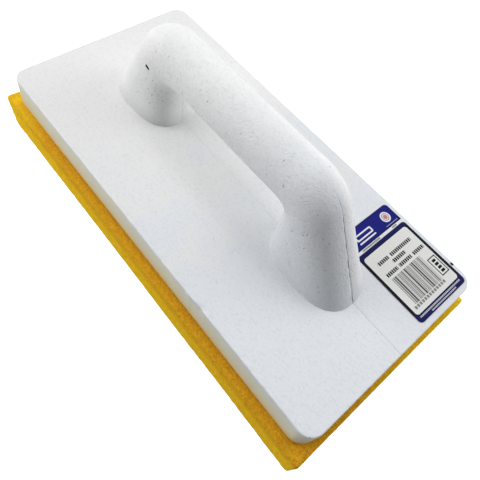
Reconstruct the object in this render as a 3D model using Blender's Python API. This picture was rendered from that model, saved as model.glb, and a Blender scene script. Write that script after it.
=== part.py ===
"""Grout float: a moulded foam plate with an integral D handle and a bonded sponge pad.

Metres, +Z up, +X towards the end that carries the label. The origin is the middle of the
sponge's underside, which is the face the float works and rests on.
"""
from math import cos, hypot, pi, radians, sin, tan

import bmesh
import bpy
from mathutils import Vector

GAP = 0.0003                     # air between neighbouring solids, instead of contact

# Sponge pad: square-cut, larger than the plate all round.
SPONGE_LENGTH = 0.280
SPONGE_WIDTH = 0.140
SPONGE_THICK = 0.025
SPONGE_EDGE = 0.0008

# Adhesive film between the sponge and the plate.
GLUE_THICK = 0.0004
GLUE_INSET = 0.0025
GLUE_Z = SPONGE_THICK + GAP

# Plate of the moulded body.
PLATE_LENGTH = 0.2712
PLATE_WIDTH = 0.1305
PLATE_THICK = 0.0195
PLATE_CORNER = 0.0085
PLATE_EDGE = 0.0006
PLATE_DRAFT = 0.0007             # how far the plate's foot stands out past its top edge
PLATE_SHIFT = (-0.00125, 0.0014)  # the pad is glued on slightly off centre
PLATE_Z = GLUE_Z + GLUE_THICK + GAP
PLATE_TOP = PLATE_Z + PLATE_THICK

# D handle, measured from the plate's top face and middle.
GRIP_TOP = 0.0615
GRIP_UNDER = 0.0322
GRIP_HALF_WIDTH = 0.0144
FOOT_HALF_WIDTH = 0.0193
ROOT_DEPTH = 0.004               # how far the feet run down inside the plate
GRIP_POWER = 2.0                 # superellipse power of the grip's section
FOOT_POWER = 2.6                 # and of the feet's outline
FLARE_POWER = 1.5                # the legs widen faster towards the plate
RING_POINTS = 36
GRIP_RINGS = 7
BEND_RINGS = 11
LEG_RINGS = 7

# Each leg: where its foot starts and ends, its outer face's slope and its two bend radii.
FRONT_LEG = dict(inner=0.04575, outer=0.10165, slope=58.5, outer_bend=0.0270, inner_bend=0.0035)
REAR_LEG = dict(inner=0.04615, outer=0.09915, slope=63.0, outer_bend=0.0265, inner_bend=0.0085)

# Label: a thin sticker on the far front corner of the plate.
LABEL_LENGTH = 0.0612
LABEL_WIDTH = 0.0412
LABEL_THICK = 0.00025
LABEL_CORNER = 0.0025
LABEL_CENTRE = (0.1014, 0.0417)  # from the plate's middle

CORNER_STEPS = 8


def clear_scene():
    """Remove every object that the opened file brings along."""
    for obj in list(bpy.data.objects):
        bpy.data.objects.remove(obj, do_unlink=True)


def material(name, colour, roughness):
    """A Principled material of one colour."""
    made = bpy.data.materials.new(name)
    made.use_nodes = True
    shader = made.node_tree.nodes["Principled BSDF"]
    shader.inputs["Base Color"].default_value = (*colour, 1.0)
    shader.inputs["Roughness"].default_value = roughness
    shader.inputs["Metallic"].default_value = 0.0
    return made


def add_object(name, mesh, location, finish=None):
    """Link a mesh as a named object."""
    obj = bpy.data.objects.new(name, mesh)
    obj.location = location
    bpy.context.scene.collection.objects.link(obj)
    if finish is not None:
        mesh.materials.append(finish)
    return obj


def rounded_outline(length, width, radius):
    """Points of a rounded rectangle about the origin, anticlockwise."""
    points = []
    for turn, (side_x, side_y) in enumerate(((1, 1), (-1, 1), (-1, -1), (1, -1))):
        centre_x = side_x * (length / 2 - radius)
        centre_y = side_y * (width / 2 - radius)
        for step in range(CORNER_STEPS + 1):
            angle = (turn + step / CORNER_STEPS) * pi / 2
            points.append((centre_x + radius * cos(angle), centre_y + radius * sin(angle)))
    return points


def slab_mesh(name, bottom, top, thick):
    """A closed slab between two outlines with the same number of points."""
    bm = bmesh.new()
    low = [bm.verts.new((x, y, 0.0)) for x, y in bottom]
    high = [bm.verts.new((x, y, thick)) for x, y in top]
    bm.faces.new(list(reversed(low)))
    bm.faces.new(high)
    for here in range(len(low)):
        after = (here + 1) % len(low)
        bm.faces.new((low[here], low[after], high[after], high[here]))
    mesh = bpy.data.meshes.new(name)
    bm.to_mesh(mesh)
    bm.free()
    return mesh


def smooth(obj, angle=35.0):
    """Smooth shading that keeps the real edges crisp."""
    obj.data.shade_smooth()
    obj.data.set_sharp_from_angle(angle=radians(angle))


def round_edges(obj, width, segments):
    """Round the slab's top and bottom edges."""
    bevel = obj.modifiers.new("edge_round", "BEVEL")
    bevel.width = width
    bevel.segments = segments
    bevel.limit_method = "ANGLE"
    bevel.angle_limit = radians(40.0)


def make_sponge():
    """The coarse sponge, as a plain square-cut block."""
    bm = bmesh.new()
    bmesh.ops.create_cube(bm, size=1.0)
    bmesh.ops.scale(bm, vec=(SPONGE_LENGTH, SPONGE_WIDTH, SPONGE_THICK), verts=bm.verts)
    mesh = bpy.data.meshes.new("sponge_pad")
    bm.to_mesh(mesh)
    bm.free()
    finish = material("sponge_foam", (0.83, 0.52, 0.05), 0.95)
    obj = add_object("sponge_pad", mesh, (0.0, 0.0, SPONGE_THICK / 2), finish)
    round_edges(obj, SPONGE_EDGE, 2)
    smooth(obj)


def make_adhesive():
    """The film of contact adhesive that holds the sponge to the plate."""
    outline = rounded_outline(PLATE_LENGTH - 2 * GLUE_INSET, PLATE_WIDTH - 2 * GLUE_INSET,
                              PLATE_CORNER - GLUE_INSET)
    finish = material("contact_adhesive", (0.62, 0.44, 0.16), 0.45)
    mesh = slab_mesh("adhesive_layer", outline, outline, GLUE_THICK)
    obj = add_object("adhesive_layer", mesh, (*PLATE_SHIFT, GLUE_Z), finish)
    smooth(obj)


def leg_stations(leg):
    """Outer and inner (x, z) pairs down one half of the handle, from mid grip to the foot."""
    slope = radians(leg["slope"])
    bend = leg["outer_bend"]
    fillet = leg["inner_bend"]
    foot_run_z = GRIP_TOP - bend + bend * cos(slope)
    foot_run_x = leg["outer"] - foot_run_z / tan(slope)
    outer_x = foot_run_x - bend * sin(slope)
    inner_x = leg["inner"] - fillet
    straight = min(outer_x, inner_x)
    pairs = []
    for step in range(GRIP_RINGS + 1):
        x = straight * step / GRIP_RINGS
        pairs.append(((x, GRIP_TOP), (x, GRIP_UNDER)))
    for step in range(1, BEND_RINGS + 1):
        outer_turn = slope * step / BEND_RINGS
        inner_turn = pi / 2 * step / BEND_RINGS
        outer = (outer_x + bend * sin(outer_turn), GRIP_TOP - bend + bend * cos(outer_turn))
        inner = (inner_x + fillet * sin(inner_turn), GRIP_UNDER - fillet + fillet * cos(inner_turn))
        pairs.append((outer, inner))
    for step in range(1, LEG_RINGS + 1):
        left = 1.0 - step / LEG_RINGS
        outer = (leg["outer"] - foot_run_z / tan(slope) * left, foot_run_z * left)
        inner = (leg["inner"], (GRIP_UNDER - fillet) * left)
        pairs.append((outer, inner))
    return pairs


def station_middle(pair):
    """Middle of a station, as (x, z)."""
    (outer_x, outer_z), (inner_x, inner_z) = pair
    return ((outer_x + inner_x) / 2, (outer_z + inner_z) / 2)


def leg_sections(leg):
    """Stations of one leg with their half width and superellipse power."""
    pairs = leg_stations(leg)
    middles = [station_middle(pair) for pair in pairs]
    run = [0.0]
    for here, after in zip(middles, middles[1:]):
        run.append(run[-1] + hypot(after[0] - here[0], after[1] - here[1]))
    start = run[GRIP_RINGS]
    sections = []
    for pair, distance in zip(pairs, run):
        share = max(0.0, (distance - start) / (run[-1] - start))
        flare = share ** FLARE_POWER
        half_width = GRIP_HALF_WIDTH + (FOOT_HALF_WIDTH - GRIP_HALF_WIDTH) * flare
        power = GRIP_POWER + (FOOT_POWER - GRIP_POWER) * share
        sections.append((pair, half_width, power))
    return sections


def rooted(sections):
    """Add the stretch of foot that runs down inside the plate."""
    ((outer_x, _), (inner_x, _)), half_width, power = sections[-1]
    root = ((outer_x, -ROOT_DEPTH), (inner_x, -ROOT_DEPTH))
    return sections + [(root, half_width, power)]


def mirrored(sections):
    """The same sections on the other side of the handle's middle."""
    flipped = []
    for (outer, inner), half_width, power in sections:
        pair = ((-outer[0], outer[1]), (-inner[0], inner[1]))
        flipped.append((pair, half_width, power))
    return flipped


def signed_power(value, exponent):
    """A power that keeps the sign of its base."""
    return abs(value) ** exponent if value >= 0 else -abs(value) ** exponent


def section_ring(section):
    """Points of one superellipse section in space."""
    (outer, inner), half_width, power = section
    middle = Vector(((outer[0] + inner[0]) / 2, 0.0, (outer[1] + inner[1]) / 2))
    reach = Vector(((outer[0] - inner[0]) / 2, 0.0, (outer[1] - inner[1]) / 2))
    points = []
    for step in range(RING_POINTS):
        angle = 2 * pi * step / RING_POINTS
        along = signed_power(cos(angle), 2 / power)
        across = signed_power(sin(angle), 2 / power)
        points.append(middle + reach * along + Vector((0.0, half_width * across, 0.0)))
    return points


def handle_mesh():
    """The handle as one closed loft from foot to foot."""
    rear = mirrored(rooted(leg_sections(REAR_LEG)))
    front = rooted(leg_sections(FRONT_LEG))
    sections = list(reversed(rear[1:])) + front
    bm = bmesh.new()
    rings = [[bm.verts.new(point) for point in section_ring(section)] for section in sections]
    for ring, after in zip(rings, rings[1:]):
        for here in range(RING_POINTS):
            turn = (here + 1) % RING_POINTS
            bm.faces.new((ring[here], ring[turn], after[turn], after[here]))
    bm.faces.new(rings[0])
    bm.faces.new(rings[-1])
    bmesh.ops.recalc_face_normals(bm, faces=bm.faces)
    mesh = bpy.data.meshes.new("handle_form")
    bm.to_mesh(mesh)
    bm.free()
    return mesh


def make_body():
    """Plate and handle, which leave the mould as one piece."""
    foot = rounded_outline(PLATE_LENGTH + 2 * PLATE_DRAFT, PLATE_WIDTH + 2 * PLATE_DRAFT,
                           PLATE_CORNER + PLATE_DRAFT)
    top = rounded_outline(PLATE_LENGTH, PLATE_WIDTH, PLATE_CORNER)
    finish = material("hard_foam", (0.83, 0.84, 0.86), 0.55)
    mesh = slab_mesh("float_body", foot, top, PLATE_THICK)
    body = add_object("float_body", mesh, (*PLATE_SHIFT, PLATE_Z), finish)
    round_edges(body, PLATE_EDGE, 3)
    handle = add_object("handle_form", handle_mesh(), (*PLATE_SHIFT, PLATE_TOP), finish)
    handle.hide_render = True
    handle.display_type = "WIRE"
    join = body.modifiers.new("handle_join", "BOOLEAN")
    join.operation = "UNION"
    join.solver = "EXACT"
    join.object = handle
    smooth(body)
    smooth(handle)


def make_label():
    """The printed sticker beside the front foot."""
    outline = rounded_outline(LABEL_LENGTH, LABEL_WIDTH, LABEL_CORNER)
    finish = material("label_stock", (0.80, 0.81, 0.82), 0.40)
    place = (PLATE_SHIFT[0] + LABEL_CENTRE[0], PLATE_SHIFT[1] + LABEL_CENTRE[1], PLATE_TOP + GAP)
    obj = add_object("label", slab_mesh("label", outline, outline, LABEL_THICK), place, finish)
    smooth(obj)


def main():
    """Build the float."""
    clear_scene()
    make_sponge()
    make_adhesive()
    make_body()
    make_label()


main()
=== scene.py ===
"""Grout float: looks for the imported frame.

Metres, in the row frame: +Z up, +X towards the end that carries the label, -Y the near side,
origin under the middle of the sponge. The label's print is laid out in millimetres.
"""
from math import asin, cos, hypot, pi, radians, sin, tan

import bmesh
import bpy
import numpy as np
from mathutils import Euler, Matrix, Vector, noise


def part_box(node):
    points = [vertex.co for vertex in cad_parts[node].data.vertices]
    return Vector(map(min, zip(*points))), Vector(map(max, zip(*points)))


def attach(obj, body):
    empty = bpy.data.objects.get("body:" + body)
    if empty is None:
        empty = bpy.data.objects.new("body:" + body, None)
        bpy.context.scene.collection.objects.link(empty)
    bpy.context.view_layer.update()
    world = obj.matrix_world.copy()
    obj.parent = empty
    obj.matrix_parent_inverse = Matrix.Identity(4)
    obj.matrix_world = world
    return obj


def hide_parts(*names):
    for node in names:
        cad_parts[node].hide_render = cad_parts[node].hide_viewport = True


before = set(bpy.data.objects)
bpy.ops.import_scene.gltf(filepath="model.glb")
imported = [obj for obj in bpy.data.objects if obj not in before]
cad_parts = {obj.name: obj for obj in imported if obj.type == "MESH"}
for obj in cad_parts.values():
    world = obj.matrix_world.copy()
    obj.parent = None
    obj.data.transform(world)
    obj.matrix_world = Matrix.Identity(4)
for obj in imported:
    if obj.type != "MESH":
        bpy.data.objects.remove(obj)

MM = 0.001
TINY = 1e-9                      # less than any real length


def node_box(node):
    """Lowest and highest corner of a CAD node, cleared of rounding noise."""
    return [[round(value, 6) for value in corner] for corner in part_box(node)]


def span(box, axis):
    """A box's length along an axis."""
    return round(box[1][axis] - box[0][axis], 6)


def centre_of(box):
    """A box's middle in plan."""
    return tuple(round((box[0][axis] + box[1][axis]) / 2, 6) for axis in (0, 1))


# Sizes and places from the frame.
SPONGE_BOX = node_box("sponge_pad")
GLUE_BOX = node_box("adhesive_layer")
BODY_BOX = node_box("float_body")
LABEL_BOX = node_box("label")
CAD_GAP = 0.0003                 # air between the plate and the label in the CAD
SPONGE_LENGTH = span(SPONGE_BOX, 0)
SPONGE_WIDTH = span(SPONGE_BOX, 1)
SPONGE_THICK = span(SPONGE_BOX, 2)
GLUE_LOW = GLUE_BOX[0][2]
GLUE_HIGH = GLUE_BOX[1][2]
PLATE_SHIFT = centre_of(GLUE_BOX)
PLATE_BOTTOM = BODY_BOX[0][2]
PLATE_TOP = round(LABEL_BOX[0][2] - CAD_GAP, 6)
GRIP_TOP = round(BODY_BOX[1][2] - PLATE_TOP, 6)
LABEL_LENGTH = span(LABEL_BOX, 0)
LABEL_WIDTH = span(LABEL_BOX, 1)
LABEL_CENTRE = centre_of(LABEL_BOX)

# The rest of the body's CAD shape, from the middle of the plate's top face.
PLATE_LENGTH = 0.2712
PLATE_WIDTH = 0.1305
PLATE_CORNER = 0.0085
PLATE_EDGE = 0.0006
PLATE_DRAFT = 0.0007
GRIP_UNDER = 0.0322
GRIP_HALF_WIDTH = 0.0144
FOOT_HALF_WIDTH = 0.0193
GRIP_POWER = 2.0
FOOT_POWER = 2.6
FLARE_POWER = 1.5
ROOT_DEPTH = 0.004
FRONT_LEG = dict(inner=0.04575, outer=0.10165, slope=58.5, outer_bend=0.0270, inner_bend=0.0035)
REAR_LEG = dict(inner=0.04615, outer=0.09915, slope=63.0, outer_bend=0.0265, inner_bend=0.0085)

# Mesh density: grid steps in metres, and counts along and round the handle.
PLATE_STEP = 0.0013
SPONGE_STEP = 0.00092
LABEL_STEP = 0.0015
MERGE_SHARE = 0.45               # a regular line this near an extra one, in steps, is left out
PLATE_MARGIN = 6                 # grid lines from the rim to the covered flat face
SPONGE_MARGIN = 16
LABEL_MARGIN = 3
GRIP_STEPS = 46
FAN_STEPS = 10
BEND_STEPS = 32
LEG_STEPS = 58
RING_STEPS = 54
GLUE_STEPS = 420
PIT_FINENESS = 2
MARK_FINENESS = 3

# Noise: how far an offset moves it along each axis, and the factor that turns a cell's centre
# into its random number.
NOISE_SHIFT = (1.0, 0.37, -0.71)
CELL_SHIFT = (1.0, -0.53, 0.29)
CELL_SCRAMBLE = 7.31

# Waviness of each surface: layers of grain size, offset and height.
PLATE_WAVES = ((0.030, 3.1, 0.00010), (0.009, 8.7, 0.00003))
EDGE_WAVES = ((0.0040, 7.7, 0.00024), (0.0120, 2.9, 0.00020))
HANDLE_WAVES = ((0.020, 6.4, 0.00005), (0.006, 2.2, 0.00002))
SPONGE_WAVES = ((0.045, 5.5, 0.00022), (0.0024, 1.2, 0.00014))
LABEL_WAVES = ((0.008, 3.3, 0.00003),)
PLATE_WAVES_FADE = 0.002         # height over which the waves fade out towards the foot
HANDLE_WAVES_FADE = 0.003

# Parting line of the mould, in the handle's middle plane.
SEAM_FLOOR = 0.00012             # half widths of the groove, at its floor and its rim
SEAM_RIM = 0.00034
# Each groove depth below comes with a painted shade: how far the groove's floor is darkened towards near
# black, as shade in a recess.
PLATE_SEAM_DEPTH = 0.00002
PLATE_SEAM_SHADE = 0.05
FRONT_SEAM = (0.08, 0.10)        # the line is plainer from here to the front edge
FRONT_SEAM_DEPTH = 0.00004
FRONT_SEAM_SHADE = 0.14
SPLIT_RUN = (0.14, 0.42)         # share of the front leg where the line opens
SPLIT_DEPTH = 0.00024
SPLIT_SHADE = 0.75
SPLIT_BREAKS = (0.62, 0.9, 0.0045, 9.5)  # level, swing, grain and offset
FAINT_DEPTH = 0.00010            # the closed line, on the handle's inner half
FAINT_SHADE = 0.7
FAINT_SHARE = 0.45
FAINT_BREAKS = (0.6, 0.8, 0.003, 4.5)

# Rough upper edge of the plate on the near side, with one bruise.
ROUGH_REACH = (0.005, 0.004)     # down the side and back on the top
ROUGH_MORE = 1.6                 # extra roughness where the edge is most worn
ROUGH_MORE_X = 0.036
ROUGH_MORE_LENGTH = 0.032
BRUISE_X = 0.056
BRUISE_LENGTH = 0.0042
BRUISE_DEPTH = 0.0014
BRUISE_REACH = (0.004, 0.003)
BRUISE_BREAKS = (0.7, 0.9, 0.0021, 6.2)

# Gas pits: count, least spacing, radius and how much longer than wide.
PIT_SEED = 41
PIT_CLUSTERS = (0.6, 1.0, 0.012, 4.2)
PIT_LEAST_SHARE = 0.05
PIT_TRIES = 4                    # vertices drawn for each pit wanted
# Painted shade inside the gas pits, as a share of the near black.
PIT_SHADE = 0.62
PIT_CLEAR_OF_SEAM = 0.002
PIT_CLEAR_OF_EDGE = 0.005
PIT_CLEAR_OF_LABEL = (0.066, 0.018)
HANDLE_PITS = 84
HANDLE_PIT_FLOOR = 0.004
HANDLE_PIT_SPACING = 0.0020
HANDLE_PIT_RADIUS = (0.00010, 0.00026)
HANDLE_PIT_STRETCH = (1.4, 3.2)
HANDLE_PIT_LIFT = 0.2
HANDLE_PIT_RUN = (0.1, 0.3, 1.0)
NEAR_PITS = (0.15, 2.5, 0.004, 0.011)  # share on the far side, extra share on the near, and where
TOP_PITS = 26
TOP_PIT_LEVEL = 0.0004
TOP_PIT_FACING = 0.98
TOP_PIT_SPACING = 0.0030
TOP_PIT_RADIUS = (0.00012, 0.00024)
TOP_PIT_STRETCH = 1.3
TOP_PIT_LIFT = 0.3

# Larger marks: place and radii. The slit is on the rear bend.
SLIT_PLACE = (-0.0605, -0.0138, 0.0861)
SLIT_RADII = (0.0018, 0.00105, 0.0024)
SLIT_DIRECTION = (0.93, 0.0, -0.36)
NEARWARD = (0.0, -1.0, 0.0)
DOT_PLACE = (0.1195, 0.0652, 0.0455)
DOT_RADII = (0.0011, 0.00085, 0.0012)
NICK_PLACE = (0.1316, -0.0617, 0.0459)
NICK_RADII = (0.0011, 0.0006, 0.0007)
NICK_DIRECTION = (1.0, 1.0, 0.0)

# Sponge: rounding, open cells as dents, worn rim and sprung corner.
SPONGE_CORNER = 0.0016
SPONGE_EDGE = 0.0009
SPONGE_REST = 0.001              # outward waves fade out below this height, so the pad lies flat
PORE_CELL = (0.0019, 2.7)        # cell size and offset
PORE_REACH = 0.62
PORE_SLOPE = 0.45
PORE_LEAST = 0.35
PORE_DEPTH = 0.00030
# Share of painted shade in the small pores; the large holes get all of it.
PORE_SHADE_SHARE = 0.45
HOLE_CELL = (0.0062, 8.1)
HOLE_REACH = 0.26
HOLE_SLOPE = 0.14
HOLE_CHANCE = 0.62
HOLE_DEPTH = 0.00060
RIM_WEAR = 0.0046
RIM_SHARE = 0.14
SPRING = (-0.0026, -0.0005, 0.0012)
SPRING_REACH = (0.028, 0.040)
SPRING_TUCK = (0.0005, 0.00075)  # how far inside the plate's outline the corner starts to rise
SPRING_FLOOR = 0.006
SPRING_FOOT = 0.35               # how far out the corner's foot stands, as a share of its top

# Adhesive: how far it stays back, and how that wanders along the edge.
GLUE_SETBACK = 0.0020
GLUE_ROUND = 0.0003
GLUE_LIP = 0.0001
GLUE_OOZE = ((0.0011, 0.0, 0.007), (0.0005, 0.5, 0.0022))  # distance, offset and grain

LABEL_THICK = 0.00022
LABEL_LIFT = 0.00006
LABEL_CORNER = 0.0024
LABEL_EDGE = 0.00006

# Angles past which shading breaks into a crisp edge, in degrees.
BODY_CRISP = 38.0
FILM_CRISP = 60.0
NEVER_CRISP = 180.0

# Colours, linear.
FOAM_COOL = (0.79, 0.82, 0.86)
FOAM_WARM = (0.835, 0.84, 0.835)
# Painted light: a brighter white for the handle's rear and far side, where the lamps fall on it.
FOAM_PAINTED_LIGHT = (0.95, 0.955, 0.955)
# Painted shade and painted yellow light reflected from the sponge on the plate's side; a painted amber
# reflection of the sponge at the side's foot.
FOAM_SIDE_SHADE_AND_BOUNCE = (0.76, 0.74, 0.45)
FOAM_SPONGE_REFLECTION = (0.88, 0.62, 0.28)
FOAM_SHADE = (0.38, 0.39, 0.38)
# Near black painted as shade into the parting line's groove, the front leg's crack, the pits, the slit, the
# dot and the nick.
FOAM_RECESS_SHADE = (0.050, 0.050, 0.048)
SPONGE_DEEP = (1.0, 0.54, 0.022)
SPONGE_PALE = (1.0, 0.74, 0.032)
# Painted shade on the sponge's near ledge, where the plate keeps light off it.
SPONGE_LEDGE_SHADE = (0.70, 0.31, 0.017)
SPONGE_LEDGE_SHADE_WARM = (0.86, 0.46, 0.024)
# Darker colour painted as shade in the sponge's pores and cells.
SPONGE_PORE_SHADE = (0.50, 0.22, 0.012)
GLUE_DARK = (0.46, 0.27, 0.07)
GLUE_PALE = (0.66, 0.47, 0.20)
LABEL_NAVY = (0.008, 0.009, 0.085)
LABEL_BLUE = (0.010, 0.011, 0.20)
LABEL_BLACK = (0.006, 0.007, 0.012)
LABEL_WHITE = (0.80, 0.81, 0.82)
LABEL_PANEL = (0.79, 0.795, 0.775)
LABEL_GREY = (0.30, 0.27, 0.30)
LABEL_ROSE = (0.60, 0.22, 0.22)
FLOOR_COLOUR = (0.80, 0.80, 0.80)
BLACK = (0.0, 0.0, 0.0)
WHITE = (1.0, 1.0, 1.0)

# Finishes. A grain is a size, then, where they aren't the usual, a detail and a roughness. A
# range is where a mask starts and ends, then, where they aren't 0 and 1, its values there. A
# tint is how far the mask moves the colour, and a depth is its bump in metres.
FOAM_TONE_GRAIN = (0.030, 2.0)
FOAM_TONE_TILT = 4.0
FOAM_TONE_RANGE = (0.30, 0.75)
FOAM_HANDLE_RANGE = (PLATE_TOP + 0.002, PLATE_TOP + 0.014)
# Where the painted light sits: above the plate, towards the rear, and on the far side.
PAINTED_LIGHT_HEIGHTS = (PLATE_TOP, PLATE_TOP + 0.012)
PAINTED_LIGHT_REAR = (-0.04, 0.07, 0.85, 0.10)
PAINTED_LIGHT_FAR = (0.0, 0.010, 0.0, 0.9)
FOAM_FINE_GRAIN = (0.0007, 3.0, 0.65)
FOAM_FINE_TINT = (0.30, 0.62, 0.08, 0.0)
FOAM_FINE_DEPTH = 0.00005
FOAM_BEAD_GRAIN = (0.0017, 2.0, 0.6)
FOAM_BEAD_TINT = (0.34, 0.50, 0.10, 0.0)
FOAM_BEAD_DEPTH = 0.00019
STROKE_TURN = -41.5              # degrees about Z of the strokes' frame; they run along its Y
STROKE_GRAIN = (1.0, 0.4)        # detail and roughness
STROKE_RANGE = (0.61, 0.74)
LONG_STROKES = (0.00090, 2.6, 0.0)   # width, stretch and offset
SHORT_STROKES = (0.00052, 2.2, 0.35)
STROKE_TINT = 0.035
STROKE_DEPTH = 0.00011
FLECK_STRETCH = (1.0, 1.0, 0.55)
FLECK_GRAIN = (0.00105, 2.0, 0.6)
FLECK_RANGE = (0.60, 0.70)
FLECK_NEAR_RANGE = (0.004, -0.012, 0.35, 1.0)
FLECK_TINT = 0.13
FLECK_DEPTH = 0.00011
DOT_SPECKS = (0.0034, 0.00040, 0.45)  # cell size, largest radius and chance
DOT_TINT = 0.30
DOT_DEPTH = 0.00016
# Where the painted shade and sponge reflection sit on the plate's side, in patches, and the amber painted
# reflection at its foot.
SIDE_BOUNCE_HEIGHTS = (PLATE_BOTTOM + 0.001, PLATE_TOP - 0.001, 0.95, 0.42)
SIDE_BOUNCE_END = (PLATE_TOP - 0.0016, PLATE_TOP - 0.0004, 1.0, 0.0)
SIDE_BOUNCE_GRAIN = (0.003, 3.0, 0.7)
SIDE_BOUNCE_PATCHES = (0.25, 0.70, 0.60, 1.0)
SPONGE_REFLECTION_HEIGHTS = (PLATE_BOTTOM, PLATE_BOTTOM + 0.009, 0.62, 0.0)
FOAM_ROUGHNESS = (0.3, 0.7, 0.46, 0.62)
FOAM_SPECULAR = 0.18
CELL_SIZE = 0.0010
CELL_RANGE = (0.10, 0.55, 1.0, 0.0)
# Painted shade in the shader's small cells and in the mesh's pores.
CELL_SHADE_TINT = 0.14
CELL_DEPTH = 0.00022
PORE_SHADE_TINT = 0.20
SPONGE_TONE_GRAIN = (0.0012, 3.0, 0.75)
SPONGE_TONE_RANGE = (0.36, 0.64)
SPONGE_GRIT_GRAIN = (0.0004, 2.0)
SPONGE_GRIT_DEPTH = 0.00010
# Where the painted shade lies on the ledge: near the top, on the near side, fading to the rear and to the
# outer rim.
LEDGE_SHADE_HEIGHTS = (SPONGE_THICK - 0.0115, SPONGE_THICK - 0.0012)
LEDGE_SHADE_NEAR = (0.050, -0.060)
LEDGE_SHADE_REAR = (-0.137, -0.092, 0.22, 1.0)
LEDGE_SHADE_RIM = (-0.0705, -0.0650, 0.84, 1.0)
SPONGE_ROUGHNESS = 0.95
GLUE_TONE_GRAIN = (0.004, 3.0)
GLUE_LUMP_GRAIN = (0.0012, 3.0)
GLUE_LUMP_DEPTH = 0.0002
GLUE_ROUGHNESS = 0.42
STOCK_GRAIN = (0.010,)
LABEL_GRAIN = (0.004, 2.0)
LABEL_DEPTH = 0.00005
LABEL_ROUGHNESS = 0.50
LABEL_SPECULAR = 0.10
FLOOR_ROUGHNESS = 0.9

# The label's print, in millimetres from its corner. A row is a colour, a span down the label, a
# span across it and, where they aren't 0, 0 and 1, a corner radius, a dash pitch and a strength.
LABEL_LONG_MM = round(LABEL_LENGTH / MM, 3)
LABEL_WIDE_MM = round(LABEL_WIDTH / MM, 3)
PRINT_SOFT_MM = 0.06
PRINT_DEEP_MM = 100.0
DASH_SHARE = 0.72
HEAD_ROWS = (
    (LABEL_NAVY, (0.0, 14.5), (0.0, LABEL_WIDE_MM), 2.3),
    (LABEL_BLUE, (0.7, 12.0), (0.9, LABEL_WIDE_MM - 0.9), 1.9),
    (LABEL_WHITE, (12.8, 14.6), (0.0, LABEL_WIDE_MM)),
    (LABEL_WHITE, (4.6, 8.4), (8.0, 21.5), 0.8),
    (LABEL_BLUE, (5.5, 7.5), (9.0, 20.5), 0.5),
    (LABEL_WHITE, (9.6, 10.5), (8.0, 21.5), 0.3),
    (LABEL_WHITE, (3.0, 9.8), (30.8, 37.4), 3.3),
    (LABEL_GREY, (3.9, 8.9), (31.7, 36.5), 2.4),
    (LABEL_WHITE, (4.4, 8.4), (32.2, 36.0), 1.9),
    (LABEL_ROSE, (4.9, 7.9), (32.7, 35.5), 1.4),
    (LABEL_WHITE, (11.2, 11.5), (29.5, 39.5), 0.0, 0.0, 0.6),
    (LABEL_BLACK, (13.2, 14.1), (6.0, 21.0), 0.0, 1.0, 0.9),
    (LABEL_BLACK, (13.2, 14.1), (32.0, 36.0), 0.0, 1.0, 0.9),
)
FRAME_ROWS = (
    (LABEL_NAVY, (14.6, LABEL_LONG_MM), (0.0, LABEL_WIDE_MM), 2.0),
    (LABEL_BLACK, (17.6, 56.0), (0.0, 1.9), 0.0, 0.0, 0.92),
    (LABEL_BLACK, (17.6, 56.0), (LABEL_WIDE_MM - 1.9, LABEL_WIDE_MM), 0.0, 0.0, 0.92),
    (LABEL_PANEL, (17.4, 57.0), (1.9, LABEL_WIDE_MM - 1.9), 1.9),
)
WORD_LINES = (
    (23.5, 25.7, ((6.7, 15.4), (17.0, 35.2))),
    (27.1, 29.3, ((15.4, 26.2),)),
    (31.0, 33.2, ((5.5, 15.0), (16.5, 27.0), (28.6, 38.0))),
)
WORD_ROWS = tuple((LABEL_BLACK, (top, foot), across, 0.3, 1.45)
                  for top, foot, words in WORD_LINES for across in words)
STRIPES_DOWN = (34.8, 52.3)
STRIPES_ACROSS = (6.4, 31.0)
STRIPES_GROUND = ((LABEL_BLACK, STRIPES_DOWN, STRIPES_ACROSS, 0.0, 0.0, 0.22),)
STRIPE_COUNT = 17
STRIPE_WIDTHS = (0.3, 0.6, 1.0, 0.3, 0.3)
STRIPE_SPACES = (0.9, 0.6, 1.5, 0.6)
STRIPE_STRENGTH = 0.90
CODE_ROWS = (
    (LABEL_BLACK, (52.7, 54.4), (3.6, 31.0), 0.3, 2.1, 0.7),
    (LABEL_BLACK, (39.6, 51.3), (32.2, 38.5)),
    (LABEL_PANEL, (40.2, 50.7), (32.8, 37.9)),
)
BLOCK_ROWS = tuple((LABEL_BLACK, (start, start + 1.6), (34.0, 36.8), 0.4)
                   for start in (41.3, 43.6, 45.9, 48.2))
FOOT_ROWS = (
    (LABEL_WHITE, (58.0, 58.9), (2.6, 38.4), 0.0, 1.1, 0.75),
    (LABEL_WHITE, (59.6, 60.4), (11.0, 33.0), 0.0, 1.1, 0.75),
)

FLOOR_HALF = 3.0
FLOOR_CELLS = 8
FLOOR_DROP = 0.0002
FLOOR_GLOW = 0.94
LIGHT_AIM = (0.0, 0.0, 0.04)
LIGHT_DISTANCE = 1.2
LIGHT_SIZE = 0.7
# Name, azimuth from +X and elevation in degrees, power in watts.
LIGHTS = (
    ("low_front", 30, 18, 0.7),
    ("low_far_front", 60, 18, 4.9),
    ("low_far", 90, 18, 1.6),
    ("low_far_rear", 120, 18, 0.9),
    ("low_rear", 215, 18, 4.1),
    ("half_front", 45, 40, 1.6),
    ("half_rear", 225, 40, 3.6),
    ("high_front", 60, 65, 1.0),
    ("high_far", 120, 65, 2.4),
    ("high_rear", 180, 65, 4.3),
    ("high_near", 240, 65, 1.4),
)
CAMERA_PLACE = (0.10723, -0.12481, 0.27002)
CAMERA_TURN = (30.098, -7.364, 50.192)
CAMERA_LENS_MM = 35.46
CAMERA_SENSOR_MM = 36.0
CAMERA_SHIFT = (0.01724, -0.0406)
CAMERA_NEAR = 0.01


# ---- mesh helpers


def link(name, mesh):
    """A new object for a mesh, in the scene."""
    obj = bpy.data.objects.new(name, mesh)
    bpy.context.scene.collection.objects.link(obj)
    return obj


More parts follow.
